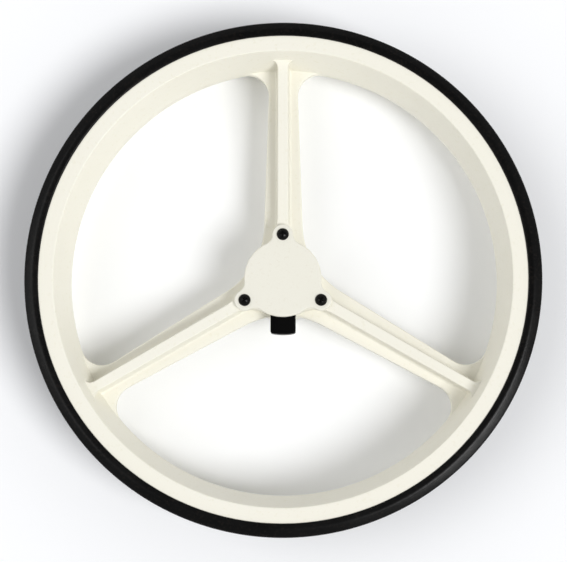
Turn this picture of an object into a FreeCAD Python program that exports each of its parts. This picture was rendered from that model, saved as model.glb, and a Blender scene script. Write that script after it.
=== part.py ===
import FreeCAD, Part
import math
import os

Vec = FreeCAD.Vector
ORIGIN = Vec(0, 0, 0)
AXLE = Vec(0, 0, 1)
FULL_TURN = 360.0
QUARTER_TURN = 90.0

# Tyre: a solid ring that fills the rim channel and spreads over the flange tips
TYRE_DIAMETER = 300.0
TYRE_BAND = 8.1
TYRE_PROUD = 0.8
TYRE_LIP_RADIUS = 0.6
SHOULDER_WIDTH = 4.6
SHOULDER_DROP = 1.8
SHOULDER_RADIUS = 3.0
CROWN_RADIUS = 8.0
TREAD_GROOVES = 2
GROOVE_PITCH = 16.0
GROOVE_WIDTH = 3.0
GROOVE_DEPTH = 1.8

# Rim: flat front ring, tapered inner wall, outer channel
RIM_WIDTH = 54.0
RIM_FACE = 9.0
RIM_WALL = 4.0
RIM_FLANGE = 3.5
RIM_EDGE = 0.9
RIM_TIP_EDGE = 0.5
CONE_DRAFT = math.radians(15.3)

# Web and spokes
SPOKES = 3
FIRST_SPOKE_DEG = 90.0
WEB = 5.0
SPOKE_HUB_WIDTH = 23.5
SPOKE_RIM_WIDTH = 16.3
OPENING_RIM_CORNER = 13.0
OPENING_HUB_ARC = 48.0
WEB_EDGE = 0.8
RIB_HUB_WIDTH = 6.2
RIB_RIM_WIDTH = 5.9
RIB_DRAFT = math.radians(3.0)
RIB_FOOT = 1.4
RIB_EDGE = 0.7
RIB_END_BELOW_RIM = 11.0
RIB_FLARE = 20.0
RIB_RIM_FLARE = 4.0
BACK_RIB_DROP = 5.0

# Hub barrel, its cavity for the latch, and the cap
HUB_DIAMETER = 44.0
CAP_SET_BACK = 10.0
HUB_BACK_RECESS = 2.0
HUB_WALL = 3.0
CAP_DIAMETER = 45.2
CAP_THICK = 3.0
CAP_EDGE = 0.9
CAP_BLEND = 6.0
LOBE_DIAMETER = 12.2
BOSS_WALL = 3.4
SCREW_CIRCLE = 51.5

# Screws
SCREW_DIAMETER = 3.5
SCREW_HEAD_DIAMETER = 7.0
SCREW_HEAD_HEIGHT = 2.4
SCREW_HEAD_RIM = 0.5
SCREW_LENGTH = 16.0
SCREW_TIP = 1.6
SCREW_CLEARANCE = 0.2
PILOT_SPARE = 2.0
RECESS_SPAN = 3.6
RECESS_WIDTH = 0.9
RECESS_DEPTH = 1.3

# Ball bearings
AXLE_DIAMETER = 12.0
BEARING_DIAMETER = 28.0
BEARING_WIDTH = 8.0
INBOARD_INSET = 4.0
INNER_RING_DIAMETER = 17.0
OUTER_RING_BORE = 23.0
BALL_DIAMETER = 4.76
BALLS = 7
RACE_CLEARANCE = 0.05
POCKET_CLEARANCE = 0.12
CAGE_GAP = 0.3
CAGE_HEIGHT = 6.0
SEAL_THICK = 0.7
SEAL_GAP = 0.3
SHOULDER_STEP = 2.0
SPACER_WALL = 2.0
CIRCLIP_THICK = 1.2
CIRCLIP_DEPTH = 0.8
CIRCLIP_WALL = 2.2
CIRCLIP_OPENING_DEG = 34.0
CIRCLIP_LUG_DIAMETER = 4.4
CIRCLIP_EYE_DIAMETER = 1.5

# Release latch: a slide with a keyhole that drops into the axle's groove
LATCH_ROOM = 8.0
LATCH_WIDTH = 29.0
LATCH_PLATE = 4.7
LATCH_RAIL = 3.0
LATCH_BOTTOM = 11.5
LATCH_TOP = 8.0
LATCH_STROKE = 4.0
LATCH_CLEARANCE = 0.3
LOCK_NECK_DIAMETER = 9.2
LOCK_PASS_DIAMETER = 12.8
TAB_WIDTH = 14.7
TAB_REACH = 32.6
TAB_CORNER = 1.4
TAB_EDGE = 0.8

# Latch spring
SPRING_DIAMETER = 5.0
SPRING_WIRE = 0.7
SPRING_TURNS = 5.0
SPRING_WIRE_SIDES = 6

# Sizes that follow from those above
TYRE_R = TYRE_DIAMETER / 2
RIM_HALF = RIM_WIDTH / 2
WEB_HALF = WEB / 2
LIP_R = TYRE_R - TYRE_BAND
FACE_R = LIP_R - RIM_FACE
OPENING_R = FACE_R - (RIM_HALF - WEB_HALF) * math.tan(CONE_DRAFT)
CHANNEL_HALF = RIM_HALF - RIM_FLANGE
HUB_R = HUB_DIAMETER / 2
CAP_FRONT = RIM_HALF - CAP_SET_BACK
HUB_FRONT = CAP_FRONT - CAP_THICK
HUB_BACK = -RIM_HALF + HUB_BACK_RECESS
SCREW_R = SCREW_CIRCLE / 2
BOSS_R = SCREW_DIAMETER / 2 + BOSS_WALL
LOBE_R = LOBE_DIAMETER / 2
BORE_R = AXLE_DIAMETER / 2
SEAT_R = BEARING_DIAMETER / 2
SHOULDER_R = SEAT_R - SHOULDER_STEP
BALL_R = BALL_DIAMETER / 2
PITCH_R = (INNER_RING_DIAMETER + OUTER_RING_BORE) / 4
BEARING_HALF = BEARING_WIDTH / 2
SEAT_FRONT = HUB_FRONT - LATCH_ROOM
SHOULDER_FRONT = SEAT_FRONT - BEARING_WIDTH
CLIP_FRONT = HUB_BACK + INBOARD_INSET
CLIP_BACK = CLIP_FRONT - CIRCLIP_THICK
CLIP_R = SEAT_R + CIRCLIP_DEPTH
SHOULDER_BACK = CLIP_FRONT + BEARING_WIDTH
BEARINGS = {"outboard": SEAT_FRONT - BEARING_HALF, "inboard": CLIP_FRONT + BEARING_HALF}
CAVITY_R = HUB_R - HUB_WALL
LATCH_HALF = LATCH_WIDTH / 2
LATCH_BACK = SEAT_FRONT + LATCH_CLEARANCE
LATCH_FRONT = HUB_FRONT - LATCH_CLEARANCE
RIB_RIM_FRONT = RIM_HALF - RIB_END_BELOW_RIM


def cone_radius(height):
    """Radius of the rim's tapered inner wall at a distance from the middle plane."""
    return OPENING_R + max(abs(height) - WEB_HALF, 0) * math.tan(CONE_DRAFT)


def axial(radius, height):
    """Point in the half plane through the axle."""
    return Vec(radius, 0, height)


def flat(x, y):
    """Point in the middle plane of the wheel."""
    return Vec(x, y, 0)


def rounded_wire(corners, place):
    """Closed wire through (a, b, radius) corners, each corner rounded by its own radius."""
    points = [place(a, b) for a, b, radius in corners]
    parts = []
    for index, (a, b, radius) in enumerate(corners):
        here = points[index]
        if radius == 0:
            parts.append((here, None, here))
            continue
        back = (points[index - 1] - here).normalize()
        ahead = (points[(index + 1) % len(points)] - here).normalize()
        half = back.getAngle(ahead) / 2
        reach = radius / math.tan(half)
        inward = (back + ahead).normalize()
        middle = here + inward * (radius / math.sin(half) - radius)
        parts.append((here + back * reach, middle, here + ahead * reach))
    edges = []
    for index, (start, middle, end) in enumerate(parts):
        if middle is not None:
            edges.append(Part.Arc(start, middle, end).toShape())
        following = parts[(index + 1) % len(parts)][0]
        edges.append(Part.makeLine(end, following))
    return Part.Wire(edges)


def turned(corners):
    """Solid of revolution about the axle from (radius, height, rounding) corners."""
    return Part.Face(rounded_wire(corners, axial)).revolve(ORIGIN, AXLE, FULL_TURN)


def sharp(pairs):
    """The same corners with no rounding."""
    return [(a, b, 0) for a, b in pairs]


def tube(outer, inner, low, high):
    """Plain ring about the axle."""
    return turned(sharp([(inner, low), (outer, low), (outer, high), (inner, high)]))


def disc(radius, low, high, x=0, y=0):
    """Plain cylinder parallel to the axle."""
    return Part.makeCylinder(radius, high - low, Vec(x, y, low), AXLE)


def block(x0, x1, y0, y1, z0, z1):
    """Box between opposite corners."""
    return Part.makeBox(x1 - x0, y1 - y0, z1 - z0, Vec(x0, y0, z0))


def prism(wire, low, high):
    """Upright prism on a closed wire drawn in the middle plane."""
    face = Part.Face(wire)
    face.translate(Vec(0, 0, low))
    return face.extrude(Vec(0, 0, high - low))


def spun(shape, degrees):
    """Copy of a shape turned about the axle."""
    copy = shape.copy()
    copy.rotate(ORIGIN, AXLE, degrees)
    return copy


def flipped(shape):
    """Mirror image of a shape in the middle plane."""
    return shape.mirror(ORIGIN, AXLE)


def spoke_angles():
    """Direction of each spoke in degrees."""
    return [FIRST_SPOKE_DEG + FULL_TURN / SPOKES * index for index in range(SPOKES)]


def united(shapes):
    """One solid from overlapping shapes."""
    return shapes[0].fuse(shapes[1:]).removeSplitter()


def single(shape):
    """The only solid of a boolean result."""
    return shape.Solids[0]


def grouped(shapes):
    """Group of separate solids."""
    return Part.Compound(shapes)


def channel_corners():
    """Floor and sides of the rim channel, from back to front."""
    edge = cone_radius(CHANNEL_HALF) + RIM_WALL
    middle = OPENING_R + RIM_WALL
    return [(LIP_R, -CHANNEL_HALF), (edge, -CHANNEL_HALF), (middle, -WEB_HALF),
            (middle, WEB_HALF), (edge, CHANNEL_HALF), (LIP_R, CHANNEL_HALF)]


def tyre():
    """Tyre ring with crowned, rounded shoulders and shallow grooves round the tread."""
    side = RIM_HALF + TYRE_PROUD
    crown = TYRE_R - SHOULDER_WIDTH
    edge = side - SHOULDER_DROP
    corners = sharp(channel_corners())
    corners.append((LIP_R, side, TYRE_LIP_RADIUS))
    corners.append((crown, side, CROWN_RADIUS))
    corners.append((TYRE_R, edge, SHOULDER_RADIUS))
    floor = TYRE_R - GROOVE_DEPTH
    for index in range(TREAD_GROOVES):
        centre = GROOVE_PITCH * ((TREAD_GROOVES - 1) / 2 - index)
        front = centre + GROOVE_WIDTH / 2
        back = centre - GROOVE_WIDTH / 2
        corners += sharp([(TYRE_R, front), (floor, front), (floor, back), (TYRE_R, back)])
    corners.append((TYRE_R, -edge, SHOULDER_RADIUS))
    corners.append((crown, -side, CROWN_RADIUS))
    corners.append((LIP_R, -side, TYRE_LIP_RADIUS))
    return turned(corners)


def rim():
    """Rim ring with its channel and tapered inner walls."""
    corners = sharp(channel_corners())
    corners.append((LIP_R, RIM_HALF, RIM_TIP_EDGE))
    corners.append((FACE_R, RIM_HALF, RIM_EDGE))
    corners += sharp([(OPENING_R, WEB_HALF), (OPENING_R, -WEB_HALF)])
    corners.append((FACE_R, -RIM_HALF, RIM_EDGE))
    corners.append((LIP_R, -RIM_HALF, RIM_TIP_EDGE))
    return turned(corners)


def spoke_half_width(radius):
    """Half the width of a spoke's flat web at a distance from the axle."""
    share = (radius - HUB_R) / (OPENING_R - HUB_R)
    return (SPOKE_HUB_WIDTH + (SPOKE_RIM_WIDTH - SPOKE_HUB_WIDTH) * share) / 2


def mirrored(point):
    """Mirror image of a point across the X axis."""
    return flat(point.x, -point.y)


def blend_arc(centre, first, second, radius):
    """Arc about a centre between two points, the short way round."""
    inward = ((first - centre) + (second - centre)).normalize()
    return Part.Arc(first, centre + inward * radius, second)


def opening():
    """Outline of one opening, centred on the X axis, with rounded corners."""
    half_turn = math.pi / SPOKES
    along = flat(math.cos(half_turn), math.sin(half_turn))
    across = flat(along.y, -along.x)
    slope = (spoke_half_width(OPENING_R) - spoke_half_width(0)) / OPENING_R
    edge = (along + across * slope).normalize()
    normal = flat(edge.y, -edge.x)
    offset = (across * spoke_half_width(0)).dot(normal)
    away = offset + OPENING_RIM_CORNER
    reach = OPENING_R - OPENING_RIM_CORNER
    rim_centre = normal * away + edge * math.sqrt(reach ** 2 - away ** 2)
    rim_line = rim_centre - normal * OPENING_RIM_CORNER
    rim_touch = rim_centre * (OPENING_R / reach)
    hub_centre = flat((offset + OPENING_HUB_ARC) / normal.x, 0)
    hub_line = hub_centre - normal * OPENING_HUB_ARC
    hub_middle = hub_centre - flat(OPENING_HUB_ARC, 0)
    arcs = []
    for place in (Vec, mirrored):
        arcs.append(blend_arc(place(rim_centre), place(rim_line), place(rim_touch), OPENING_RIM_CORNER))
        arcs.append(Part.LineSegment(place(hub_line), place(rim_line)))
    arcs.append(Part.Arc(mirrored(rim_touch), flat(OPENING_R, 0), rim_touch))
    arcs.append(Part.Arc(mirrored(hub_line), hub_middle, hub_line))
    return Part.Wire(Part.__sortEdges__([arc.toShape() for arc in arcs]))


def web():
    """Flat web with the openings cut out and their edges rounded."""
    plate = disc(OPENING_R + RIM_WALL / 2, -WEB_HALF, WEB_HALF)
    hole = prism(opening(), -WEB, WEB)
    half_pitch = FULL_TURN / SPOKES / 2
    plate = plate.cut([spun(hole, angle + half_pitch) for angle in spoke_angles()])
    edges = []
    for face in plate.Faces:
        if abs(abs(face.CenterOfMass.z) - WEB_HALF) < WEB_EDGE / 2 and face.BoundBox.ZLength < WEB_EDGE:
            for wire in face.Wires:
                if not wire.isSame(face.OuterWire):
                    edges += wire.Edges
    return plate.makeFillet(WEB_EDGE, edges)


def rib_plan(height, top):
    """Outline of a rib at a height, wider below by its draft."""
    spread = (top - height) * math.tan(RIB_DRAFT)
    far = LIP_R
    slope = (RIB_RIM_WIDTH - RIB_HUB_WIDTH) / (FACE_R - HUB_R) / 2
    near_half = RIB_HUB_WIDTH / 2 - slope * HUB_R + spread
    far_half = RIB_HUB_WIDTH / 2 + slope * (far - HUB_R) + spread
    points = [Vec(0, -near_half, height), Vec(far, -far_half, height),
              Vec(far, far_half, height), Vec(0, near_half, height)]
    return Part.makePolygon(points + points[:1])


def rib_side(top, tip, margin):
    """Side outline of a rib, level out to the lobe and on a slight slope to the rim wall."""
    level = SCREW_R + LOBE_R
    buried = RIM_WALL / 2
    points = sharp([(0, 0), (OPENING_R + buried, 0), (cone_radius(tip) + buried, tip),
                    (level, top), (0, top)])
    face = Part.Face(rounded_wire(points, axial))
    face.translate(Vec(0, -margin, 0))
    return face.extrude(Vec(0, 2 * margin, 0))


def rib_flare():
    """Concave corner pieces where a rib runs into the barrel."""
    half = RIB_HUB_WIDTH / 2
    centre_y = half + RIB_FLARE
    centre_x = math.sqrt((HUB_R + RIB_FLARE) ** 2 - centre_y ** 2)
    touch = flat(centre_x, centre_y) * (HUB_R / (HUB_R + RIB_FLARE))
    corners = [flat(0, 0), flat(centre_x, 0), flat(centre_x, half)]
    corners += [flat(centre_x, centre_y), touch]
    wedge = prism(Part.makePolygon(corners + corners[:1]), 0, CAP_FRONT)
    wedge = wedge.cut(disc(RIB_FLARE, -WEB, CAP_FRONT + WEB, centre_x, centre_y))
    return [wedge, wedge.mirror(ORIGIN, Vec(0, 1, 0))]


def rib_rim_flare(tip):
    """Concave corner pieces where a rib runs into the rim's wall."""
    half = RIB_RIM_WIDTH / 2
    wall = cone_radius(tip)
    centre_y = half + RIB_RIM_FLARE
    centre_x = math.sqrt((wall - RIB_RIM_FLARE) ** 2 - centre_y ** 2)
    touch = flat(centre_x, centre_y) * (wall / (wall - RIB_RIM_FLARE))
    corners = [flat(centre_x, 0), flat(LIP_R, 0), flat(LIP_R, touch.y)]
    corners += [touch, flat(centre_x, centre_y)]
    wedge = prism(Part.makePolygon(corners + corners[:1]), 0, RIM_HALF)
    wedge = wedge.cut(disc(RIB_RIM_FLARE, -WEB, RIM_HALF + WEB, centre_x, centre_y))
    return [wedge, wedge.mirror(ORIGIN, Vec(0, 1, 0))]


def rib_foot(top):
    """Rounded bars along the foot of a rib's two side walls."""
    spread = (top - WEB_HALF) * math.tan(RIB_DRAFT)
    slope = (RIB_RIM_WIDTH - RIB_HUB_WIDTH) / (FACE_R - HUB_R) / 2
    half = RIB_HUB_WIDTH / 2 - slope * HUB_R + spread
    length = (OPENING_R + RIM_WALL / 2) / math.cos(math.atan(slope))
    bar = block(0, length, -RIB_FOOT, RIB_FOOT, -RIB_FOOT, RIB_FOOT)
    hollow = Part.makeCylinder(RIB_FOOT, length, Vec(0, RIB_FOOT, RIB_FOOT), Vec(1, 0, 0))
    bar = bar.cut(hollow)
    bar.rotate(ORIGIN, AXLE, math.degrees(math.atan(slope)))
    bar.translate(Vec(0, half, WEB_HALF))
    return [bar, bar.mirror(ORIGIN, Vec(0, 1, 0))]


def rib(top, tip):
    """Rib on one side of a spoke with its boss, flares and rounded foot."""
    margin = HUB_DIAMETER
    high = max(top, tip)
    low = min(top, tip)
    drafted = Part.makeLoft([rib_plan(0, high), rib_plan(high, high)], True, True)
    side = rib_side(top, tip, margin)
    body = single(drafted.common(side))
    crest = []
    for edge in body.Edges:
        span = edge.BoundBox
        if span.XLength > HUB_DIAMETER and span.ZMin > low - RIB_EDGE:
            crest.append(edge)
    body = body.makeFillet(RIB_EDGE, crest)
    corners = rib_flare() + rib_rim_flare(tip) + rib_foot(high)
    extra = [piece.common(side) for piece in corners]
    return [body] + extra


def screw_boss():
    """Post under a lobe of the cap, with the side of the rib around it."""
    return disc(BOSS_R, 0, HUB_FRONT, SCREW_R, 0)


def latch_cavity():
    """Room for the latch inside the barrel, with the slot for its tab."""
    half = LATCH_HALF + LATCH_CLEARANCE
    bottom = LATCH_BOTTOM + LATCH_CLEARANCE
    over = CAP_FRONT
    room = disc(CAVITY_R, SEAT_FRONT, over)
    room = room.common(block(-half, half, -bottom, CAVITY_R, SEAT_FRONT, over))
    slot = TAB_WIDTH / 2 + LATCH_CLEARANCE
    return room.fuse(block(-slot, slot, -TAB_REACH, 0, SEAT_FRONT, over))


def barrel_bore():
    """Bearing seats, the shoulder between them and the circlip's groove."""
    corners = [(0, HUB_BACK - WEB), (SEAT_R, HUB_BACK - WEB), (SEAT_R, CLIP_BACK), (CLIP_R, CLIP_BACK),
               (CLIP_R, CLIP_FRONT), (SEAT_R, CLIP_FRONT), (SEAT_R, SHOULDER_BACK),
               (SHOULDER_R, SHOULDER_BACK), (SHOULDER_R, SHOULDER_FRONT), (SEAT_R, SHOULDER_FRONT),
               (SEAT_R, SEAT_FRONT + WEB), (0, SEAT_FRONT + WEB)]
    return turned(sharp(corners))


def wheel_moulding():
    """Rim, spokes and hub moulded in one piece."""
    barrel = disc(HUB_R, HUB_BACK, HUB_FRONT)
    front = rib(HUB_FRONT, RIB_RIM_FRONT) + [screw_boss()]
    back = [flipped(piece) for piece in rib(-HUB_BACK - BACK_RIB_DROP, RIB_RIM_FRONT)]
    pieces = [rim(), web(), barrel]
    for angle in spoke_angles():
        pieces += [spun(piece, angle) for piece in front + back]
    body = united(pieces)
    pilot_low = CAP_FRONT - SCREW_LENGTH - PILOT_SPARE
    pilot = disc(SCREW_DIAMETER / 2, pilot_low, CAP_FRONT, SCREW_R, 0)
    tools = [latch_cavity(), barrel_bore()] + [spun(pilot, angle) for angle in spoke_angles()]
    return single(body.cut(tools).removeSplitter())


def trefoil():
    """Outline of the cap: a disc with three blended lobes round the screws."""
    cap_r = CAP_DIAMETER / 2
    reach = cap_r + CAP_BLEND
    lobe_reach = LOBE_R + CAP_BLEND
    turn = math.acos((reach ** 2 + SCREW_R ** 2 - lobe_reach ** 2) / (2 * reach * SCREW_R))
    lobe = flat(SCREW_R, 0)
    blend = flat(math.cos(turn), math.sin(turn)) * reach
    on_disc = blend * (cap_r / reach)
    on_lobe = lobe + (blend - lobe) * (LOBE_R / lobe_reach)
    inward = ((on_disc - blend) + (on_lobe - blend)).normalize()
    middle = blend + inward * CAP_BLEND
    half_pitch = math.pi / SPOKES
    crown = flat(math.cos(half_pitch), math.sin(half_pitch)) * cap_r
    pitch = 2 * half_pitch - turn
    next_disc = flat(math.cos(pitch), math.sin(pitch)) * cap_r

    edges = []
    for angle in spoke_angles():
        arcs = [Part.Arc(mirrored(on_disc), mirrored(middle), mirrored(on_lobe)),
                Part.Arc(mirrored(on_lobe), flat(SCREW_R + LOBE_R, 0), on_lobe),
                Part.Arc(on_lobe, middle, on_disc),
                Part.Arc(on_disc, crown, next_disc)]
        edges += [spun(arc.toShape(), angle) for arc in arcs]
    return Part.Wire(Part.__sortEdges__(edges))


def hub_cap():
    """Flat cover with a rounded front edge and three screw holes."""
    plate = prism(trefoil(), HUB_FRONT, CAP_FRONT)
    edges = [edge for edge in plate.Edges if edge.BoundBox.ZMin > CAP_FRONT - CAP_EDGE]
    plate = plate.makeFillet(CAP_EDGE, edges)
    hole = disc(SCREW_DIAMETER / 2 + SCREW_CLEARANCE, 0, CAP_FRONT + WEB, SCREW_R, 0)
    return single(plate.cut([spun(hole, angle) for angle in spoke_angles()]))


def cap_screws():
    """Three domed pan head screws with a cross recess."""
    head_r = SCREW_HEAD_DIAMETER / 2
    shank_r = SCREW_DIAMETER / 2
    top = CAP_FRONT + SCREW_HEAD_HEIGHT
    low = CAP_FRONT - SCREW_LENGTH
    rim_top = CAP_FRONT + SCREW_HEAD_RIM
    rise = SCREW_HEAD_HEIGHT - SCREW_HEAD_RIM
    dome_r = (head_r ** 2 + rise ** 2) / (2 * rise)
    bend = math.atan2(head_r, dome_r - rise) / 2
    middle = axial(dome_r * math.sin(bend), top - dome_r + dome_r * math.cos(bend))
    path = [axial(0, top), axial(0, low), axial(shank_r / 2, low), axial(shank_r, low + SCREW_TIP),
            axial(shank_r, CAP_FRONT), axial(head_r, CAP_FRONT), axial(head_r, rim_top)]
    edges = [Part.makeLine(start, end) for start, end in zip(path, path[1:])]
    edges.append(Part.Arc(path[-1], middle, path[0]).toShape())
    screw = Part.Face(Part.Wire(edges)).revolve(ORIGIN, AXLE, FULL_TURN)
    half = RECESS_SPAN / 2
    thin = RECESS_WIDTH / 2
    low = top - RECESS_DEPTH
    screw = screw.cut([block(-half, half, -thin, thin, low, top), block(-thin, thin, -half, half, low, top)])
    screw.translate(Vec(SCREW_R, 0, 0))
    return grouped([single(spun(screw, angle)) for angle in spoke_angles()])


def release_latch():
    """Slide plate with side rails, keyhole and thumb tab."""
    plate_front = LATCH_BACK + LATCH_PLATE
    inner = LATCH_HALF - LATCH_RAIL
    plate = block(-LATCH_HALF, LATCH_HALF, -LATCH_BOTTOM, LATCH_TOP, LATCH_BACK, plate_front)
    rails = [block(inner, LATCH_HALF, -LATCH_BOTTOM, LATCH_TOP, LATCH_BACK, LATCH_FRONT),
             block(-LATCH_HALF, -inner, -LATCH_BOTTOM, LATCH_TOP, LATCH_BACK, LATCH_FRONT)]
    half = TAB_WIDTH / 2
    tab_top = LOCK_PASS_DIAMETER / 2 + LATCH_STROKE
    tab = block(-half, half, -TAB_REACH - TAB_WIDTH, -tab_top, LATCH_BACK, LATCH_FRONT)
    tab = single(tab.common(disc(TAB_REACH, LATCH_BACK, LATCH_FRONT)))
    corners = [edge for edge in tab.Edges
               if edge.BoundBox.ZLength > LATCH_PLATE and edge.CenterOfMass.y < -HUB_R]
    tab = tab.makeFillet(TAB_CORNER, corners)
    crest = [edge for edge in tab.Edges
             if edge.BoundBox.ZMin > LATCH_FRONT - TAB_EDGE and edge.BoundBox.YMin < -HUB_R]
    tab = tab.makeFillet(TAB_EDGE, crest)
    neck = disc(LOCK_NECK_DIAMETER / 2, LATCH_BACK - WEB, plate_front + WEB)
    wide = disc(LOCK_PASS_DIAMETER / 2, LATCH_BACK - WEB, LATCH_FRONT + WEB, 0, -LATCH_STROKE)
    neck_half = LOCK_NECK_DIAMETER / 2
    throat = block(-neck_half, neck_half, -LATCH_STROKE, 0, LATCH_BACK - WEB, plate_front + WEB)
    body = united([plate, tab] + rails)
    return single(body.cut([neck, wide, throat]).removeSplitter())


def latch_spring():
    """Compression coil with a six-sided wire, from the latch to the cavity's wall."""
    gap = CAVITY_R - LATCH_TOP - LATCH_CLEARANCE
    radius = (SPRING_DIAMETER - SPRING_WIRE) / 2
    length = gap - SPRING_WIRE
    helix = Part.makeHelix(length / SPRING_TURNS, length, radius)
    points = []
    for index in range(SPRING_WIRE_SIDES):
        turn = 2 * math.pi * index / SPRING_WIRE_SIDES
        points.append(Vec(radius + SPRING_WIRE / 2 * math.cos(turn), 0, SPRING_WIRE / 2 * math.sin(turn)))
    section = Part.makePolygon(points + points[:1])
    coil = Part.Wire(helix.Edges).makePipeShell([section], True, True)
    coil.rotate(ORIGIN, Vec(1, 0, 0), -QUARTER_TURN)
    coil.translate(Vec(0, LATCH_TOP + LATCH_CLEARANCE / 2 + SPRING_WIRE / 2, LATCH_BACK + LATCH_PLATE / 2))
    return coil


def race_torus():
    """Ring cut by the balls' path in both bearing rings."""
    return Part.makeTorus(PITCH_R, BALL_R + RACE_CLEARANCE)


def bearing_pieces(place):
    """Named solids of one ball bearing at a height on the axle."""
    race = race_torus()
    inner = tube(INNER_RING_DIAMETER / 2, BORE_R, -BEARING_HALF, BEARING_HALF).cut(race)
    outer = tube(SEAT_R, OUTER_RING_BORE / 2, -BEARING_HALF, BEARING_HALF).cut(race)
    cage = tube(OUTER_RING_BORE / 2 - CAGE_GAP, INNER_RING_DIAMETER / 2 + CAGE_GAP,
                -CAGE_HEIGHT / 2, CAGE_HEIGHT / 2)
    ball = Part.makeSphere(BALL_R, Vec(PITCH_R, 0, 0))
    pocket = Part.makeCylinder(BALL_R + POCKET_CLEARANCE, SEAT_R, ORIGIN, Vec(1, 0, 0))
    steps = [FULL_TURN / BALLS * index for index in range(BALLS)]
    cage = cage.cut([spun(pocket, step) for step in steps])
    seal = tube(OUTER_RING_BORE / 2, INNER_RING_DIAMETER / 2 + SEAL_GAP,
                BEARING_HALF - SEAL_THICK, BEARING_HALF)
    pieces = {"outer_ring": single(outer), "inner_ring": single(inner), "cage": single(cage),
              "balls": grouped([spun(ball, step) for step in steps]),
              "front_seal": seal, "rear_seal": flipped(seal)}
    for piece in pieces.values():
        piece.translate(Vec(0, 0, place))
    return pieces


def bearing_spacer():
    """Sleeve that keeps the two inner rings apart."""
    return tube(BORE_R + SPACER_WALL, BORE_R, SHOULDER_BACK, SHOULDER_FRONT)


def bearing_circlip():
    """Open ring in the groove behind the inboard bearing, with an eye at each end for the pliers."""
    inner = CLIP_R - CIRCLIP_WALL
    ring = tube(CLIP_R, inner, CLIP_BACK, CLIP_FRONT)
    half = math.radians(CIRCLIP_OPENING_DEG / 2)
    far = BEARING_DIAMETER
    gap = [flat(0, 0), flat(far * math.cos(half), -far * math.sin(half)),
           flat(far * math.cos(half), far * math.sin(half))]
    ring = ring.cut(prism(Part.makePolygon(gap + gap[:1]), CLIP_BACK, CLIP_FRONT))
    lug_r = CIRCLIP_LUG_DIAMETER / 2
    turn = half + math.asin(lug_r / inner)
    places = [flat(inner * math.cos(turn), side * inner * math.sin(turn)) for side in (1, -1)]
    lugs = [disc(lug_r, CLIP_BACK, CLIP_FRONT, at.x, at.y) for at in places]
    eyes = [disc(CIRCLIP_EYE_DIAMETER / 2, CLIP_BACK, CLIP_FRONT, at.x, at.y) for at in places]
    return spun(single(united([ring] + lugs).cut(eyes)), -QUARTER_TURN)


def main():
    """Build every piece and write each to its own file."""
    nodes = {"tyre": tyre(), "wheel_moulding": wheel_moulding(), "hub_cap": hub_cap(),
             "cap_screws": cap_screws(), "release_latch": release_latch(),
             "latch_spring": latch_spring(), "bearing_spacer": bearing_spacer(),
             "bearing_circlip": bearing_circlip()}
    for name, place in BEARINGS.items():
        for piece, shape in bearing_pieces(place).items():
            nodes[name + "_bearing_" + piece] = shape
    os.makedirs("parts", exist_ok=True)
    for name, shape in nodes.items():
        shape.exportStep("parts/" + name + ".step")


main()
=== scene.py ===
"""Golf trolley wheel lying on a pale table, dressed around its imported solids."""

import logging
import math
from dataclasses import dataclass, field
from enum import Enum
from typing import Any, ClassVar, Sequence

import bpy
import numpy as np
from mathutils import Matrix, Vector


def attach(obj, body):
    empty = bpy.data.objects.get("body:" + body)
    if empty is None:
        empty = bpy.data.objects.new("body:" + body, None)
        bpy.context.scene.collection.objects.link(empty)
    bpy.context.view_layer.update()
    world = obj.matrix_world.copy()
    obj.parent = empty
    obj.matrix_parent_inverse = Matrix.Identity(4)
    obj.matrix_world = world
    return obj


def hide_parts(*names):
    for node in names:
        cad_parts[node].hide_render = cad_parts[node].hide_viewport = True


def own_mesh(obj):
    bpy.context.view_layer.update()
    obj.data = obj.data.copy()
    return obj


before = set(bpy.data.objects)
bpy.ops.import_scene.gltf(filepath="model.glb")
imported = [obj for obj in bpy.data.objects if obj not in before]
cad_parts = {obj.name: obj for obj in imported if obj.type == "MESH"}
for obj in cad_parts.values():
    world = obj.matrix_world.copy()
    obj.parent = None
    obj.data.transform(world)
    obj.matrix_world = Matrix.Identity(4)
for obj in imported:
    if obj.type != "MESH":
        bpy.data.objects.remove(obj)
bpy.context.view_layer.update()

LOG = logging.getLogger("wheel")
MM = 0.001
FULL_TURN = 2 * math.pi
SIDES = ("outboard", "inboard")
WHITE = (1.0, 1.0, 1.0, 1.0)

# The sRGB curve: a straight foot, then a shifted power
HEX_MAX = 255
SRGB_FOOT_END = 0.04045
SRGB_FOOT_SLOPE = 12.92
SRGB_SHIFT = 0.055
SRGB_POWER = 2.4

# Sockets of a Mix node that is set to colour, which share their names with its other types
MIX_SHARE, MIX_FIRST, MIX_SECOND, MIX_RESULT = 0, 6, 7, 2

Tree = bpy.types.NodeTree
Socket = bpy.types.NodeSocket


def linear(hex_code: str) -> tuple[float, float, float, float]:
    """Turn an sRGB hex colour into linear light.

    Args:
        hex_code: six hex digits.

    Returns:
        Red, green, blue and alpha.
    """
    level = np.array(list(bytes.fromhex(hex_code))) / HEX_MAX
    power = ((level + SRGB_SHIFT) / (1 + SRGB_SHIFT)) ** SRGB_POWER
    red, green, blue = np.where(level <= SRGB_FOOT_END, level / SRGB_FOOT_SLOPE, power).tolist()
    return (red, green, blue, 1.0)


def add(tree: Tree, kind: str, inputs: dict[Any, Any] | None = None, **settings: Any) -> bpy.types.Node:
    """Add one node with its settings, constants and links.

    Args:
        tree: node tree that receives the node.
        kind: Blender's node type.
        inputs: socket name or index to a constant, or to the output socket that feeds it.
        settings: attributes of the node.

    Returns:
        The new node.
    """
    node = tree.nodes.new(kind)
    for key, value in settings.items():
        setattr(node, key, value)
    for key, value in (inputs or {}).items():
        if isinstance(value, Socket):
            tree.links.new(value, node.inputs[key])
        else:
            node.inputs[key].default_value = value
    return node


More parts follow.
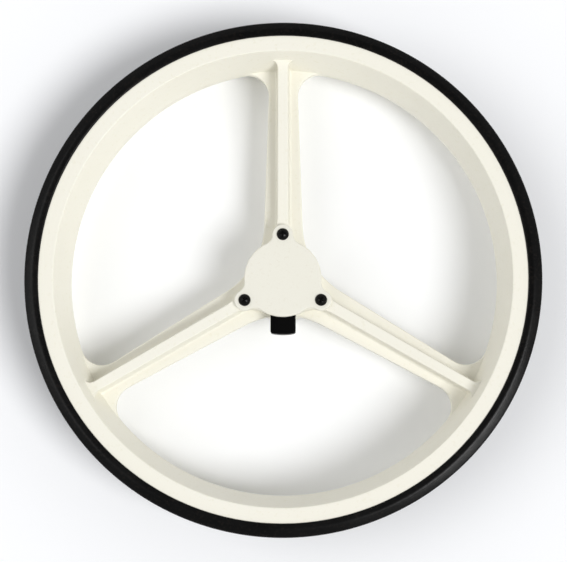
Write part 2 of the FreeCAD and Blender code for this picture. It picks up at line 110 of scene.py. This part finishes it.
class Pattern(Enum):
    """How a surface was made, which gives its fine relief a direction."""

    MOULDED = "even grain from a textured mould"
    TURNED = "rings about the axle from a lathe or grinder"
    DRAWN = "scratches along the length of wire or plate"


@dataclass(frozen=True)
class Finish:
    """One real material and the way its surface was made.

    Two tones drift into each other over cloud_mm and the gloss wanders with them. Fine relief of
    grain_depth_mm repeats every grain_mm, broad ripples of ripple_depth_mm every ripple_mm, and specks of a
    third tone cover about speck_share of the surface.
    """

    name: str
    tone: str
    second_tone: str
    speck_tone: str
    roughness: float
    grain_mm: float
    grain_depth_mm: float
    ripple_mm: float
    ripple_depth_mm: float
    cloud_mm: float
    speck_mm: float
    speck_share: float
    roughness_spread: float = 0.05
    specular: float = 0.5
    metallic: float = 0.0
    pattern: Pattern = Pattern.MOULDED

    CLOUD_DETAIL: ClassVar[float] = 4.0
    GRAIN_DETAIL: ClassVar[float] = 2.0
    NOISE_LOW: ClassVar[float] = 0.3
    NOISE_HIGH: ClassVar[float] = 0.7
    SPECK_EDGE: ClassVar[float] = 0.06
    DRAWN_STRETCH: ClassVar[float] = 0.12

    def material(self) -> bpy.types.Material:
        """Build the material once, and give the same one after that."""
        found = bpy.data.materials.get(self.name)
        if found:
            return found
        made = bpy.data.materials.new(self.name)
        made.use_nodes = True
        tree = made.node_tree
        tree.nodes.clear()
        place = add(tree, "ShaderNodeTexCoord").outputs["Object"]
        cloud = self._noise(tree, place, self.cloud_mm, self.CLOUD_DETAIL)
        shader = add(tree, "ShaderNodeBsdfPrincipled", {
            "Base Color": self._colour(tree, place, cloud), "Roughness": self._gloss(tree, cloud),
            "Normal": self._relief(tree, place), "Metallic": self.metallic,
            "Specular IOR Level": self.specular})
        add(tree, "ShaderNodeOutputMaterial", {"Surface": shader.outputs["BSDF"]})
        return made

    @staticmethod
    def _noise(tree: Tree, place: Socket, size_mm: float, detail: float) -> Socket:
        """Add a noise whose features are about size_mm across.

        Args:
            tree: node tree of the material.
            place: coordinates that the noise reads.
            size_mm: size of one feature.
            detail: how many finer layers lie on it.

        Returns:
            The noise's value.
        """
        return add(tree, "ShaderNodeTexNoise", {
            "Vector": place, "Scale": 1 / (size_mm * MM), "Detail": detail}).outputs["Fac"]

    def _colour(self, tree: Tree, place: Socket, cloud: Socket) -> Socket:
        """Drift between both tones and sprinkle the third over them.

        Args:
            tree: node tree of the material.
            place: object coordinates.
            cloud: noise that the tones follow.

        Returns:
            The colour.
        """
        drift = add(tree, "ShaderNodeMix", {
            MIX_SHARE: cloud, MIX_FIRST: linear(self.tone), MIX_SECOND: linear(self.second_tone)},
            data_type="RGBA")
        limit = self.NOISE_HIGH - self.speck_share * (self.NOISE_HIGH - self.NOISE_LOW)
        specks = add(tree, "ShaderNodeMapRange", {
            "Value": self._noise(tree, place, self.speck_mm, self.GRAIN_DETAIL),
            "From Min": limit - self.SPECK_EDGE, "From Max": limit + self.SPECK_EDGE})
        return add(tree, "ShaderNodeMix", {
            MIX_SHARE: specks.outputs["Result"], MIX_FIRST: drift.outputs[MIX_RESULT],
            MIX_SECOND: linear(self.speck_tone)}, data_type="RGBA").outputs[MIX_RESULT]

    def _gloss(self, tree: Tree, cloud: Socket) -> Socket:
        """Let the roughness wander about its middle value.

        Args:
            tree: node tree of the material.
            cloud: noise that the gloss follows.

        Returns:
            The roughness.
        """
        return add(tree, "ShaderNodeMapRange", {
            "Value": cloud, "From Min": self.NOISE_LOW, "From Max": self.NOISE_HIGH,
            "To Min": self.roughness - self.roughness_spread,
            "To Max": self.roughness + self.roughness_spread}).outputs["Result"]

    def _relief(self, tree: Tree, place: Socket) -> Socket:
        """Lay the fine relief over the broad ripples.

        Args:
            tree: node tree of the material.
            place: object coordinates.

        Returns:
            The bent normal.
        """
        ripple = add(tree, "ShaderNodeBump", {
            "Height": self._noise(tree, place, self.ripple_mm, self.GRAIN_DETAIL),
            "Distance": self.ripple_depth_mm * MM})
        grain = add(tree, "ShaderNodeBump", {
            "Height": self._noise(tree, self._directed(tree, place), self.grain_mm, self.GRAIN_DETAIL),
            "Distance": self.grain_depth_mm * MM, "Normal": ripple.outputs["Normal"]})
        return grain.outputs["Normal"]

    def _directed(self, tree: Tree, place: Socket) -> Socket:
        """Give the fine relief its coordinates.

        Turned work uses the distance from the axle and the height, so that its grain makes rings. Drawn work
        is stretched along Y.

        Args:
            tree: node tree of the material.
            place: object coordinates.

        Returns:
            The socket that the fine noise reads.
        """
        if self.pattern is Pattern.MOULDED:
            return place
        if self.pattern is Pattern.DRAWN:
            return add(tree, "ShaderNodeVectorMath", {0: place, 1: (1.0, self.DRAWN_STRETCH, 1.0)},
                       operation="MULTIPLY").outputs["Vector"]
        parts = add(tree, "ShaderNodeSeparateXYZ", {"Vector": place})
        level = add(tree, "ShaderNodeCombineXYZ", {"X": parts.outputs["X"], "Y": parts.outputs["Y"]})
        radius = add(tree, "ShaderNodeVectorMath", {0: level.outputs["Vector"]}, operation="LENGTH")
        return add(tree, "ShaderNodeCombineXYZ", {
            "X": radius.outputs["Value"], "Z": parts.outputs["Z"]}).outputs["Vector"]


# Moulded ABS in ivory: an even satin, faintly mottled, with spark-eroded grain and a slight sink-mark ripple
IVORY_ABS = Finish(
    "ivory_abs_moulded", "f3f1e6", "f0eddf", "eeebdc", roughness=0.44, specular=0.4,
    grain_mm=0.9, grain_depth_mm=0.004, ripple_mm=14.0, ripple_depth_mm=0.012,
    cloud_mm=60.0, speck_mm=2.2, speck_share=0.12)
# The cap is moulded from the same stock in a smoother tool, a shade darker and glossier
IVORY_CAP = Finish(
    "ivory_abs_cap", "edebe0", "eae8db", "e8e5d8", roughness=0.38, roughness_spread=0.04, specular=0.4,
    grain_mm=0.7, grain_depth_mm=0.003, ripple_mm=9.0, ripple_depth_mm=0.008,
    cloud_mm=30.0, speck_mm=1.6, speck_share=0.1)
# Solid tyre of dense foamed rubber: near black and pebbled, with rings from the turned mould and a brownish
# bloom. The real grain is finer, and is drawn at 1 to 2 mm so that it shows in the render
TYRE_RUBBER = Finish(
    "foamed_rubber_tyre", "030303", "060606", "120f0d", roughness=0.3, specular=0.16,
    grain_mm=1.1, grain_depth_mm=0.03, ripple_mm=2.2, ripple_depth_mm=0.05,
    cloud_mm=25.0, speck_mm=1.6, speck_share=0.25, pattern=Pattern.TURNED)
# Glass-filled nylon of the latch: black, silky, with paler fibre ends
BLACK_NYLON = Finish(
    "black_nylon_moulded", "010101", "040404", "090909", roughness=0.4, specular=0.06,
    grain_mm=0.35, grain_depth_mm=0.005, ripple_mm=4.0, ripple_depth_mm=0.006,
    cloud_mm=12.0, speck_mm=0.5, speck_share=0.12)
# Blackened screw heads: dark oil finish over cold-formed steel, worn a little brown
BLACK_OXIDE = Finish(
    "black_oxide_steel", "040404", "0a0908", "14110e", roughness=0.26, roughness_spread=0.06, specular=0.16,
    grain_mm=0.4, grain_depth_mm=0.003, ripple_mm=1.5, ripple_depth_mm=0.003,
    cloud_mm=3.0, speck_mm=0.6, speck_share=0.12)
# Ground bearing steel: bright with fine rings and a few dull spots of grease
GROUND_STEEL = Finish(
    "ground_bearing_steel", "c2c4c8", "aeb1b6", "9c9a94", roughness=0.2, metallic=1.0,
    grain_mm=0.12, grain_depth_mm=0.002, ripple_mm=3.0, ripple_depth_mm=0.001,
    cloud_mm=5.0, speck_mm=0.9, speck_share=0.08, pattern=Pattern.TURNED)
# Zinc-plated sleeve: softer grey with a slight cloud and white bloom
ZINC_PLATE = Finish(
    "zinc_plated_steel", "b7b9bd", "a3a6ab", "c9cacb", roughness=0.34, roughness_spread=0.06, metallic=1.0,
    grain_mm=0.2, grain_depth_mm=0.003, ripple_mm=3.0, ripple_depth_mm=0.002,
    cloud_mm=4.0, speck_mm=0.8, speck_share=0.12, pattern=Pattern.TURNED)
# Hard-drawn spring wire and stamped ring: phosphated grey with draw marks
SPRING_STEEL = Finish(
    "phosphated_spring_steel", "7d7f82", "6a6c6f", "585a5c", roughness=0.36, roughness_spread=0.06,
    metallic=1.0, grain_mm=0.15, grain_depth_mm=0.003, ripple_mm=1.5, ripple_depth_mm=0.002,
    cloud_mm=3.0, speck_mm=0.4, speck_share=0.15, pattern=Pattern.DRAWN)
# Nitrile seal: dull black with a moulded skin and a smear of grease
NITRILE = Finish(
    "nitrile_rubber_seal", "141414", "1c1c1c", "24221e", roughness=0.55, specular=0.35,
    grain_mm=0.25, grain_depth_mm=0.005, ripple_mm=2.5, ripple_depth_mm=0.005,
    cloud_mm=6.0, speck_mm=0.7, speck_share=0.12)
# Natural nylon of the ball cages: warm white with a slight mottle
CAGE_NYLON = Finish(
    "natural_nylon_cage", "d8cfae", "cfc59f", "c6ba90", roughness=0.42, specular=0.45,
    grain_mm=0.3, grain_depth_mm=0.004, ripple_mm=2.5, ripple_depth_mm=0.004,
    cloud_mm=4.0, speck_mm=0.6, speck_share=0.12)


def rounded_profile(corners: Sequence[tuple[float, float, float]], steps: int) -> np.ndarray:
    """Closed outline with each corner replaced by a tangent arc.

    A corner with rounding q and half angle h between its sides starts its arc q / tan(h) before the corner,
    and the arc's centre lies q / sin(h) along the bisector. Points are spread evenly over each arc's turn.

    Args:
        corners: first coordinate, second coordinate and rounding of each corner, in order.
        steps: points on each arc.

    Returns:
        Array of points, one row each.
    """
    flat = np.array([corner[:2] for corner in corners])
    roundings = [corner[2] for corner in corners]
    pieces = []
    for here, back, ahead, rounding in zip(flat, np.roll(flat, 1, 0), np.roll(flat, -1, 0), roundings):
        if rounding == 0:
            pieces.append(here[None])
            continue
        u = (back - here) / np.linalg.norm(back - here)
        v = (ahead - here) / np.linalg.norm(ahead - here)
        half = math.acos(float(np.clip(u @ v, -1, 1))) / 2
        bisector = (u + v) / np.linalg.norm(u + v)
        across = (v - u) / np.linalg.norm(v - u)
        centre = here + bisector * rounding / math.sin(half)
        turn = math.pi / 2 - half
        share = np.linspace(-turn, turn, steps)[:, None]
        pieces.append(centre + rounding * (np.sin(share) * across - np.cos(share) * bisector))
    return np.concatenate(pieces)


def ring_surface(profile: np.ndarray, segments: int) -> np.ndarray:
    """Carry a closed (radius, height) profile round the axle.

    Point (i, j) is the profile's j-th radius times the cosine and sine of the i-th even step of a full turn,
    at the profile's j-th height.

    Args:
        profile: rows of radius and height.
        segments: steps in the turn.

    Returns:
        Grid of points, segments by profile length by three.
    """
    turn = np.linspace(0, FULL_TURN, segments, endpoint=False)[:, None]
    radius, height = profile[None, :, 0], profile[None, :, 1]
    level = np.broadcast_to(height, (segments, len(profile)))
    return np.stack([radius * np.cos(turn), radius * np.sin(turn), level], -1)


def ring_faces(rows: int, cols: int) -> list[list[int]]:
    """Join a grid whose rows and columns both close on themselves: four neighbours share each face.

    The outline runs up on the side of the axle and down on the far side, so that the faces point outwards.

    Args:
        rows: steps round the axle.
        cols: points of the outline.

    Returns:
        Corners of each face.
    """
    index = np.arange(rows * cols).reshape(rows, cols)
    right = np.roll(index, -1, 1)
    return np.stack([right, np.roll(right, -1, 0), np.roll(index, -1, 0), index], -1).reshape(-1, 4).tolist()


def tube_faces(rows: int, cols: int) -> list[list[int]]:
    """Join a grid whose columns close on themselves, and cap its first and last row.

    Args:
        rows: steps along the tube.
        cols: points round the tube.

    Returns:
        Corners of each face.
    """
    index = np.arange(rows * cols).reshape(rows, cols)
    right = np.roll(index, -1, 1)
    walls = np.stack([index[:-1], right[:-1], right[1:], index[1:]], -1).reshape(-1, 4).tolist()
    return walls + [index[0, ::-1].tolist(), index[-1].tolist()]


def make_piece(name: str, grid: np.ndarray, faces: list[list[int]], finish: Finish,
               sharp_deg: float) -> bpy.types.Object:
    """Make a smooth mesh piece at the origin.

    Args:
        name: name of the piece.
        grid: points in metres, rows by columns by three.
        faces: corners of each face, as places in the flattened grid.
        finish: what the piece is made of.
        sharp_deg: faces that meet more sharply than this keep a hard edge.

    Returns:
        The new object.
    """
    mesh = bpy.data.meshes.new(name)
    mesh.from_pydata(grid.reshape(-1, 3).tolist(), [], faces)
    mesh.shade_smooth()
    mesh.set_sharp_from_angle(angle=math.radians(sharp_deg))
    mesh.materials.append(finish.material())
    piece = bpy.data.objects.new(name, mesh)
    bpy.context.scene.collection.objects.link(piece)
    return piece


def dress(node: str, finish: Finish) -> None:
    """Give a CAD node its finish.

    Args:
        node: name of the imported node.
        finish: what the node is made of.
    """
    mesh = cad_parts[node].data
    mesh.materials.clear()
    mesh.materials.append(finish.material())
    LOG.info("dressed %s in %s", node, finish.name)


@dataclass
class Tyre:
    """Solid tyre with crowned shoulders, grooved tread and a moulding line, in millimetres."""

    radius: float = 150.0
    lip_radius: float = 141.9
    side: float = 27.8
    channel_half: float = 23.5
    channel_edge: float = 135.94
    channel_floor: float = 130.2
    web_half: float = 2.5
    lip: float = 0.6
    shoulder_width: float = 4.6
    shoulder_drop: float = 1.8
    shoulder: float = 1.4
    crown: float = 5.0
    groove_pitch: float = 16.0
    groove_width: float = 3.0
    groove_depth: float = 1.8
    groove_edge: float = 0.5
    seam_width: float = 0.8
    seam_height: float = 0.12
    segments: int = 480
    arc_steps: int = 9
    sharp_deg: float = 40.0

    def corners(self) -> list[tuple[float, float, float]]:
        """List the outline's corners with their roundings: channel, front, tread, back."""
        shoulder_start, shoulder_end = self.radius - self.shoulder_width, self.side - self.shoulder_drop
        half_seam, seam_foot = self.seam_width / 2, self.radius - self.seam_height
        channel = [(self.lip_radius, -self.channel_half), (self.channel_edge, -self.channel_half),
                   (self.channel_floor, -self.web_half), (self.channel_floor, self.web_half),
                   (self.channel_edge, self.channel_half), (self.lip_radius, self.channel_half)]
        front = [(self.lip_radius, self.side, self.lip), (shoulder_start, self.side, self.crown),
                 (self.radius, shoulder_end, self.shoulder)]
        seam = [(seam_foot, half_seam, 0.0), (self.radius, 0.0, 0.0), (seam_foot, -half_seam, 0.0)]
        back = [(radius, -height, rounding) for radius, height, rounding in reversed(front)]
        return ([(radius, height, 0.0) for radius, height in channel] + front
                + self.groove(self.groove_pitch / 2) + seam + self.groove(-self.groove_pitch / 2) + back)

    def groove(self, centre: float) -> list[tuple[float, float, float]]:
        """List the corners of one tread groove.

        Args:
            centre: height of the groove's middle line.

        Returns:
            Four corners with their roundings, from front to back.
        """
        front, back = centre + self.groove_width / 2, centre - self.groove_width / 2
        floor = self.radius - self.groove_depth
        outline = [(self.radius, front), (floor, front), (floor, back), (self.radius, back)]
        return [(radius, height, self.groove_edge) for radius, height in outline]

    def build(self) -> None:
        """Make the tyre's skin and let it stand for the plain solid."""
        grid = ring_surface(rounded_profile(self.corners(), self.arc_steps) * MM, self.segments)
        skin = make_piece("tyre_skin", grid, ring_faces(*grid.shape[:2]), TYRE_RUBBER, self.sharp_deg)
        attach(skin, "wheel")
        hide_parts("tyre")
        LOG.info("tyre skin: %d points", len(skin.data.vertices))


@dataclass
class LatchSpring:
    """Coil spring behind the latch, in millimetres."""

    coil_radius: float = 2.15
    wire_radius: float = 0.35
    tip_share: float = 0.02
    turns: float = 5.0
    low: float = 8.5
    high: float = 18.35
    depth: float = 8.65
    stroke: float = 4.0
    anchor: float = 19.0
    along: int = 200
    around: int = 10
    sharp_deg: float = 180.0

    def build(self) -> None:
        """Wind a round wire on a helix.

        The wire's centre turns evenly about a line parallel to Y while it climbs evenly from low to high, and
        the wire is a circle in the plane of the outward and Y directions. The first and last circles shrink
        to tip_share of the wire, which rounds the ends off.
        """
        share = np.linspace(0, 1, self.along)[:, None]
        turn = FULL_TURN * self.turns * share
        around = np.linspace(0, FULL_TURN, self.around, endpoint=False)[None]
        thick = np.where((share == 0) | (share == 1), self.tip_share, 1.0) * self.wire_radius
        radius = self.coil_radius + thick * np.cos(around)
        height = self.low + (self.high - self.low) * share + thick * np.sin(around)
        grid = np.stack([radius * np.cos(turn), height, self.depth + radius * np.sin(turn)], -1) * MM
        coil = make_piece("latch_spring_coil", grid, tube_faces(self.along, self.around), SPRING_STEEL,
                          self.sharp_deg)
        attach(coil, "wheel")
        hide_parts("latch_spring")
        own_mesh(coil)
        LOG.info("spring coil: %d points", len(coil.data.vertices))


@dataclass
class Hub:
    """Moulding, cap, screws, latch and bearings that keep their CAD shapes."""

    finishes: dict[str, Finish] = field(default_factory=lambda: {
        "wheel_moulding": IVORY_ABS, "hub_cap": IVORY_CAP, "cap_screws": BLACK_OXIDE,
        "release_latch": BLACK_NYLON, "bearing_spacer": ZINC_PLATE, "bearing_circlip": SPRING_STEEL})
    bearing: dict[str, Finish] = field(default_factory=lambda: {
        "outer_ring": GROUND_STEEL, "inner_ring": GROUND_STEEL, "balls": GROUND_STEEL, "cage": CAGE_NYLON,
        "front_seal": NITRILE, "rear_seal": NITRILE})

    def build(self) -> None:
        """Dress each listed node in its finish."""
        for node, finish in self.finishes.items():
            dress(node, finish)
        for side in SIDES:
            for part, finish in self.bearing.items():
                dress(f"{side}_bearing_{part}", finish)


@dataclass(frozen=True)
class Lamp:
    """Broad distant lamp, placed by the angles under which the wheel sees it."""

    name: str
    azimuth_deg: float
    elevation_deg: float
    spread_deg: float
    strength: float

    def hang(self) -> None:
        """Put the lamp in the scene, turned towards the wheel."""
        lamp = bpy.data.lights.new(self.name, "SUN")
        lamp.energy = self.strength
        lamp.angle = math.radians(self.spread_deg)
        azimuth, elevation = math.radians(self.azimuth_deg), math.radians(self.elevation_deg)
        level = math.cos(elevation)
        toward = Vector((math.cos(azimuth) * level, math.sin(azimuth) * level, math.sin(elevation)))
        hung = bpy.data.objects.new(self.name, lamp)
        hung.rotation_euler = toward.to_track_quat("Z", "Y").to_euler()
        bpy.context.scene.collection.objects.link(hung)


@dataclass
class Studio:
    """Pale table, a soft key from the lower right, a weak fill from the left, and the camera above."""

    floor_height: float = -27.8
    floor_span: float = 8000.0
    floor_tone: str = "fcfdff"
    key: Lamp = Lamp("key", azimuth_deg=-32.0, elevation_deg=56.0, spread_deg=24.0, strength=1.82)
    fill: Lamp = Lamp("fill", azimuth_deg=178.0, elevation_deg=56.0, spread_deg=40.0, strength=0.68)
    sky_low: float = 0.87
    sky_high: float = 0.15
    camera_tilt_deg: float = 6.2
    camera_side_deg: float = 1.4
    camera_distance: float = 1100.0
    view_width: float = 335.8
    aim_up: float = 0.1
    sensor: float = 36.0

    def build(self) -> None:
        """Set the table, the lights and the camera."""
        self._floor()
        self._lights()
        self._camera()
        bpy.context.scene.view_settings.view_transform = "Standard"

    def _floor(self) -> None:
        """Lay a plain pale table under the tyre."""
        half, height = self.floor_span * MM / 2, self.floor_height * MM
        corners = [(-half, -half, height), (half, -half, height), (half, half, height), (-half, half, height)]
        mesh = bpy.data.meshes.new("table")
        mesh.from_pydata(corners, [], [(0, 1, 2, 3)])
        table = bpy.data.objects.new("table", mesh)
        bpy.context.scene.collection.objects.link(table)
        made = bpy.data.materials.new("pale_table")
        made.use_nodes = True
        tree = made.node_tree
        tree.nodes.clear()
        matt = add(tree, "ShaderNodeBsdfDiffuse", {"Color": linear(self.floor_tone)})
        add(tree, "ShaderNodeOutputMaterial", {"Surface": matt.outputs["BSDF"]})
        mesh.materials.append(made)

    def _lights(self) -> None:
        """Hang both lamps in a pale surround that changes evenly from the horizon up."""
        self.key.hang()
        self.fill.hang()
        world = bpy.data.worlds.new("surround")
        bpy.context.scene.world = world
        world.use_nodes = True
        tree = world.node_tree
        tree.nodes.clear()
        place = add(tree, "ShaderNodeTexCoord").outputs["Generated"]
        height = add(tree, "ShaderNodeSeparateXYZ", {"Vector": place}).outputs["Z"]
        sky = add(tree, "ShaderNodeMapRange", {
            "Value": height, "To Min": self.sky_low, "To Max": self.sky_high})
        glow = add(tree, "ShaderNodeBackground", {"Color": WHITE, "Strength": sky.outputs["Result"]})
        add(tree, "ShaderNodeOutputWorld", {"Surface": glow.outputs["Background"]})

    def _camera(self) -> None:
        """Look down on the capped face, leaning a little to the foot and the right of the picture."""
        lens = bpy.data.cameras.new("camera")
        lens.sensor_width = self.sensor
        lens.lens = self.sensor * self.camera_distance / self.view_width
        camera = bpy.data.objects.new("camera", lens)
        bpy.context.scene.collection.objects.link(camera)
        side, tilt = math.radians(self.camera_side_deg), math.radians(self.camera_tilt_deg)
        back = Vector((math.tan(side), -math.tan(tilt), 1.0)).normalized()
        right = Vector((0.0, 1.0, 0.0)).cross(back).normalized()
        aim = Vector((0.0, self.aim_up, 0.0))
        camera.location = (aim + back * self.camera_distance) * MM
        camera.rotation_euler = Matrix((right, back.cross(right), back)).transposed().to_euler()
        bpy.context.scene.camera = camera


def main() -> None:
    """Build each sub-assembly in order."""
    logging.basicConfig(level=logging.INFO, format="%(message)s")
    Hub().build()
    Tyre().build()
    LatchSpring().build()
    Studio().build()


if __name__ == "__main__":
    main()
